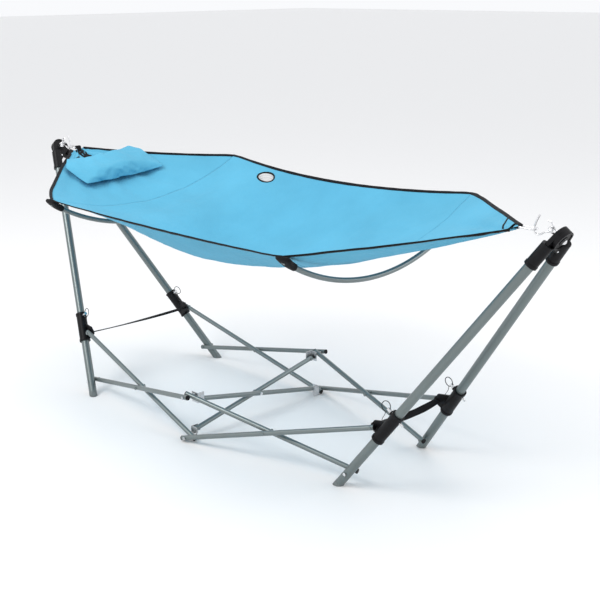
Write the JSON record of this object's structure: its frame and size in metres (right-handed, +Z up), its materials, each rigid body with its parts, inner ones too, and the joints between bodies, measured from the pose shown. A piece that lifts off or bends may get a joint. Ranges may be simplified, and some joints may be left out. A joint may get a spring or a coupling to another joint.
{
  "type": "hammock on stand",
  "caption": "Portable hammock: a sky-blue fabric bed with spreader bars and a pillow, hooked between two pairs of leaning legs on a folding scissor-link base.",
  "frame": {"origin": "on the ground under the middle of the stand", "axes": "+X towards the foot end, +Y across towards the far side, +Z up"},
  "size_m": [2.358, 0.8381, 0.8661],
  "materials": {
    "leg_paint": "satin grey",
    "bar_paint": "satin light grey",
    "black_plastic": "moulded, slightly glossy",
    "cap_rubber": "matt grey plastic",
    "black_wire": "black coated wire and cord",
    "plugs": "matt",
    "bright_metal": "bright plated",
    "connector_steel": "zinc plated",
    "webbing": "woven black webbing",
    "bed_fabric": "plain woven polyester",
    "pillow_fabric": "plain woven polyester, padded"
  },
  "bodies": {
    "base_joints": {"low_connectors": "connector_steel"},
    "slider_bar_head_near": {"slider_bar_head_near": "bar_paint", "slider_bar_plugs_head_near": "plugs"},
    "leg_bar_head_near": {"leg_bar_head_near": "bar_paint", "leg_bar_plugs_head_near": "plugs"},
    "leg_head_near": {"leg_head_near": "leg_paint", "foot_cap_head_near": "cap_rubber", "knuckle_head_near": "black_plastic", "hub_bolt_head": "bright_metal"},
    "slide_bracket_head_near": {"slide_bracket_head_near": "black_plastic", "strap_head": "webbing"},
    "lock_pin_head_near": {"lock_pin_head_near": "bright_metal"},
    "pull_ring_head_near": {"pull_ring_head_near": "black_wire"},
    "slider_bar_head_far": {"slider_bar_head_far": "bar_paint", "slider_bar_plugs_head_far": "plugs"},
    "leg_bar_head_far": {"leg_bar_head_far": "bar_paint", "leg_bar_plugs_head_far": "plugs"},
    "leg_head_far": {"leg_head_far": "leg_paint", "foot_cap_head_far": "cap_rubber", "knuckle_head_far": "black_plastic"},
    "slide_bracket_head_far": {"slide_bracket_head_far": "black_plastic"},
    "lock_pin_head_far": {"lock_pin_head_far": "bright_metal"},
    "pull_ring_head_far": {"pull_ring_head_far": "black_wire"},
    "slider_bar_foot_near": {"slider_bar_foot_near": "bar_paint", "slider_bar_plugs_foot_near": "plugs"},
    "leg_bar_foot_near": {"leg_bar_foot_near": "bar_paint", "leg_bar_plugs_foot_near": "plugs"},
    "leg_foot_near": {"leg_foot_near": "leg_paint", "foot_cap_foot_near": "cap_rubber", "knuckle_foot_near": "black_plastic", "hub_bolt_foot": "bright_metal"},
    "slide_bracket_foot_near": {"slide_bracket_foot_near": "black_plastic", "strap_foot": "webbing"},
    "lock_pin_foot_near": {"lock_pin_foot_near": "bright_metal"},
    "pull_ring_foot_near": {"pull_ring_foot_near": "black_wire"},
    "slider_bar_foot_far": {"slider_bar_foot_far": "bar_paint", "slider_bar_plugs_foot_far": "plugs"},
    "leg_bar_foot_far": {"leg_bar_foot_far": "bar_paint", "leg_bar_plugs_foot_far": "plugs"},
    "leg_foot_far": {"leg_foot_far": "leg_paint", "foot_cap_foot_far": "cap_rubber", "knuckle_foot_far": "black_plastic"},
    "slide_bracket_foot_far": {"slide_bracket_foot_far": "black_plastic"},
    "lock_pin_foot_far": {"lock_pin_foot_far": "bright_metal"},
    "pull_ring_foot_far": {"pull_ring_foot_far": "black_wire"},
    "high_joint_near": {"high_connector_near": "connector_steel"},
    "high_joint_far": {"high_connector_far": "connector_steel"},
    "cross_joint": {"cross_rivet": "bright_metal"},
    "cross_bar_low_near": {"cross_bar_low_near": "bar_paint"},
    "cross_bar_low_far": {"cross_bar_low_far": "bar_paint"},
    "bed": {"bed_panel_middle": "bed_fabric", "bed_panel_head": "bed_fabric", "bed_panel_foot": "bed_fabric", "spreader_bar_head": "bar_paint", "spreader_bar_foot": "bar_paint", "pillow": "pillow_fabric"},
    "hook_head": {"s_hook_head": "bright_metal", "bed_ring_head": "bright_metal"},
    "hook_foot": {"s_hook_foot": "bright_metal", "bed_ring_foot": "bright_metal"}
  },
  "joints": [
    {"name": "fold", "type": "hinge", "parent": "base_joints", "child": "slider_bar_head_near", "pos_m": [0, -0.2935, 0.0143], "axis": [0, 1, 0], "range_deg": [0, 5], "deforming": ["strap_head", "strap_foot", "bed_panel_head", "bed_panel_foot", "pillow"]},
    {"name": "fold_leg_bar_head_near", "type": "hinge", "parent": "slider_bar_head_near", "child": "leg_bar_head_near", "pos_m": [-0.30114, -0.28581, 0.09926], "axis": [0, 1, 0], "range_deg": [-11.72, 0]},
    {"name": "fold_leg_head_near", "type": "hinge", "parent": "leg_bar_head_near", "child": "leg_head_near", "pos_m": [-0.59752, -0.2556, 0.0444], "axis": [0, 1, 0], "range_deg": [0, 17.18]},
    {"name": "fold_slide_bracket_head_near", "type": "slide", "parent": "leg_head_near", "child": "slide_bracket_head_near", "axis": [-0.5585, 0.263, 0.7867], "range_m": [0, 0.06468]},
    {"name": "pull_lock_pin_head_near", "type": "slide", "parent": "slide_bracket_head_near", "child": "lock_pin_head_near", "axis": [0.8082, 0, 0.5889], "range_m": [0, 0.047]},
    {"name": "swing_pull_ring_head_near", "type": "hinge", "parent": "lock_pin_head_near", "child": "pull_ring_head_near", "pos_m": [-0.71272, -0.2136, 0.26074], "axis": [-0.5585, 0.263, 0.7867], "range_deg": [-80, 80]},
    {"name": "fold_slider_bar_head_far", "type": "hinge", "parent": "base_joints", "child": "slider_bar_head_far", "pos_m": [0, 0.2935, 0.0143], "axis": [0, 1, 0], "range_deg": [0, 5]},
    {"name": "fold_leg_bar_head_far", "type": "hinge", "parent": "slider_bar_head_far", "child": "leg_bar_head_far", "pos_m": [-0.3013, 0.28583, 0.09931], "axis": [0, 1, 0], "range_deg": [-11.72, 0]},
    {"name": "fold_leg_head_far", "type": "hinge", "parent": "leg_bar_head_far", "child": "leg_head_far", "pos_m": [-0.59835, 0.2556, 0.0444], "axis": [0, 1, 0], "range_deg": [0, 17.18]},
    {"name": "fold_slide_bracket_head_far", "type": "slide", "parent": "leg_head_far", "child": "slide_bracket_head_far", "axis": [-0.5685, -0.2608, 0.7803], "range_m": [0, 0.06464]},
    {"name": "pull_lock_pin_head_far", "type": "slide", "parent": "slide_bracket_head_far", "child": "lock_pin_head_far", "axis": [0.8082, 0, 0.5889], "range_m": [0, 0.047]},
    {"name": "swing_pull_ring_head_far", "type": "hinge", "parent": "lock_pin_head_far", "child": "pull_ring_head_far", "pos_m": [-0.71579, 0.21427, 0.25875], "axis": [-0.5685, -0.2608, 0.7803], "range_deg": [-80, 80]},
    {"name": "fold_slider_bar_foot_near", "type": "hinge", "parent": "base_joints", "child": "slider_bar_foot_near", "pos_m": [0, -0.3165, 0.0143], "axis": [0, -1, 0], "range_deg": [0, 5]},
    {"name": "fold_leg_bar_foot_near", "type": "hinge", "parent": "slider_bar_foot_near", "child": "leg_bar_foot_near", "pos_m": [0.30114, -0.2242, 0.09926], "axis": [0, -1, 0], "range_deg": [-11.72, 0]},
    {"name": "fold_leg_foot_near", "type": "hinge", "parent": "leg_bar_foot_near", "child": "leg_foot_near", "pos_m": [0.59752, -0.156, 0.0444], "axis": [0, -1, 0], "range_deg": [0, 17.18]},
    {"name": "fold_slide_bracket_foot_near", "type": "slide", "parent": "leg_foot_near", "child": "slide_bracket_foot_near", "axis": [0.5706, 0.1683, 0.8038], "range_m": [0, 0.0633]},
    {"name": "pull_lock_pin_foot_near", "type": "slide", "parent": "slide_bracket_foot_near", "child": "lock_pin_foot_near", "axis": [-0.8082, 0, 0.5889], "range_m": [0, 0.047]},
    {"name": "swing_pull_ring_foot_near", "type": "hinge", "parent": "lock_pin_foot_near", "child": "pull_ring_foot_near", "pos_m": [0.71645, -0.14225, 0.26599], "axis": [0.5706, 0.1683, 0.8038], "range_deg": [-80, 80]},
    {"name": "fold_slider_bar_foot_far", "type": "hinge", "parent": "base_joints", "child": "slider_bar_foot_far", "pos_m": [0, 0.3165, 0.0143], "axis": [0, -1, 0], "range_deg": [0, 5]},
    {"name": "fold_leg_bar_foot_far", "type": "hinge", "parent": "slider_bar_foot_far", "child": "leg_bar_foot_far", "pos_m": [0.3013, 0.22426, 0.09931], "axis": [0, -1, 0], "range_deg": [-11.72, 0]},
    {"name": "fold_leg_foot_far", "type": "hinge", "parent": "leg_bar_foot_far", "child": "leg_foot_far", "pos_m": [0.59835, 0.156, 0.0444], "axis": [0, -1, 0], "range_deg": [0, 17.18]},
    {"name": "fold_slide_bracket_foot_far", "type": "slide", "parent": "leg_foot_far", "child": "slide_bracket_foot_far", "axis": [0.5806, -0.1669, 0.7969], "range_m": [0, 0.06329]},
    {"name": "pull_lock_pin_foot_far", "type": "slide", "parent": "slide_bracket_foot_far", "child": "lock_pin_foot_far", "axis": [-0.8082, 0, 0.5889], "range_m": [0, 0.047]},
    {"name": "swing_pull_ring_foot_far", "type": "hinge", "parent": "lock_pin_foot_far", "child": "pull_ring_foot_far", "pos_m": [0.71953, 0.14269, 0.26388], "axis": [0.5806, -0.1669, 0.7969], "range_deg": [-80, 80]},
    {"name": "fold_high_joint_near", "type": "slide", "parent": "base_joints", "child": "high_joint_near", "axis": [0, 0, 1], "range_m": [0, 0.0608]},
    {"name": "fold_high_joint_far", "type": "slide", "parent": "base_joints", "child": "high_joint_far", "axis": [0, 0, 1], "range_m": [0, 0.0608]},
    {"name": "fold_cross_joint", "type": "slide", "parent": "base_joints", "child": "cross_joint", "axis": [0, 0, 1], "range_m": [0, 0.0304]},
    {"name": "fold_cross_bar_low_near", "type": "hinge", "parent": "cross_joint", "child": "cross_bar_low_near", "pos_m": [0, 0, 0.08465], "axis": [1, 0, 0], "range_deg": [0, 6.75]},
    {"name": "fold_cross_bar_low_far", "type": "hinge", "parent": "cross_joint", "child": "cross_bar_low_far", "pos_m": [0, 0, 0.08465], "axis": [-1, 0, 0], "range_deg": [0, 6.75]},
    {"name": "bed_swing", "type": "hinge", "parent": "base_joints", "child": "bed", "pos_m": [0, 0, 0.826], "axis": [1, 0, 0], "range_deg": [-4, 4]},
    {"name": "fold_hook_head", "type": "slide", "parent": "bed", "child": "hook_head", "axis": [0.9141, 0, 0.4055], "range_m": [0, 0.18438]},
    {"name": "fold_hook_foot", "type": "slide", "parent": "bed", "child": "hook_foot", "axis": [-0.9141, 0, 0.4055], "range_m": [0, 0.18438]}
  ],
  "couplings": [
    {"joint": "fold_leg_bar_head_near", "follows": "fold", "ratio": -2.3394},
    {"joint": "fold_leg_head_near", "follows": "fold", "ratio": 3.4287},
    {"joint": "fold_slide_bracket_head_near", "follows": "fold", "m_per_rad": 0.73967},
    {"joint": "fold_slider_bar_head_far", "follows": "fold", "ratio": 1},
    {"joint": "fold_leg_bar_head_far", "follows": "fold", "ratio": -2.3394},
    {"joint": "fold_leg_head_far", "follows": "fold", "ratio": 3.4287},
    {"joint": "fold_slide_bracket_head_far", "follows": "fold", "m_per_rad": 0.73922},
    {"joint": "fold_slider_bar_foot_near", "follows": "fold", "ratio": 1},
    {"joint": "fold_leg_bar_foot_near", "follows": "fold", "ratio": -2.3394},
    {"joint": "fold_leg_foot_near", "follows": "fold", "ratio": 3.4287},
    {"joint": "fold_slide_bracket_foot_near", "follows": "fold", "m_per_rad": 0.72396},
    {"joint": "fold_slider_bar_foot_far", "follows": "fold", "ratio": 1},
    {"joint": "fold_leg_bar_foot_far", "follows": "fold", "ratio": -2.3394},
    {"joint": "fold_leg_foot_far", "follows": "fold", "ratio": 3.4287},
    {"joint": "fold_slide_bracket_foot_far", "follows": "fold", "m_per_rad": 0.72378},
    {"joint": "fold_high_joint_near", "follows": "fold", "m_per_rad": 0.69532},
    {"joint": "fold_high_joint_far", "follows": "fold", "m_per_rad": 0.69532},
    {"joint": "fold_cross_joint", "follows": "fold", "m_per_rad": 0.34766},
    {"joint": "fold_cross_bar_low_near", "follows": "fold", "ratio": 1.3464},
    {"joint": "fold_cross_bar_low_far", "follows": "fold", "ratio": 1.3464},
    {"joint": "fold_hook_head", "follows": "fold", "m_per_rad": 2.1086},
    {"joint": "fold_hook_foot", "follows": "fold", "m_per_rad": 2.1086}
  ]
}
